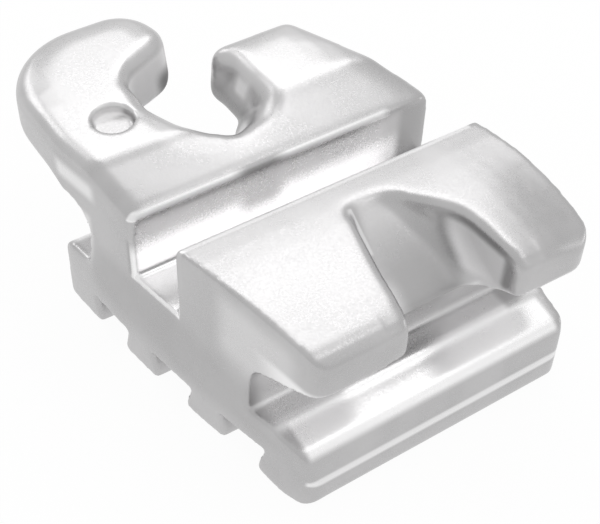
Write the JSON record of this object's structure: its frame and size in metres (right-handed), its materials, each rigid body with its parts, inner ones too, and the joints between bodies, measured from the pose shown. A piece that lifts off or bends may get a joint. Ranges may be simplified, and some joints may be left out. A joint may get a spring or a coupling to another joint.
{
  "type": "orthodontic bracket",
  "caption": "One-piece metal bracket with a squared archwire slot, tie wings over undercuts, a curled hook, and dovetail bonding rails under a slightly hollow pad.",
  "frame": {"origin": "middle of the archwire slot's floor", "axes": "+X along the archwire slot, +Y towards the wing with the hook, +Z away from the tooth, out of the slot"},
  "size_m": [0.0033, 0.0045, 0.0019],
  "materials": {
    "bracket_body": "satin, as moulded and tumbled"
  },
  "bodies": {
    "root": {"bracket_body": "bracket_body"}
  },
  "joints": []
}
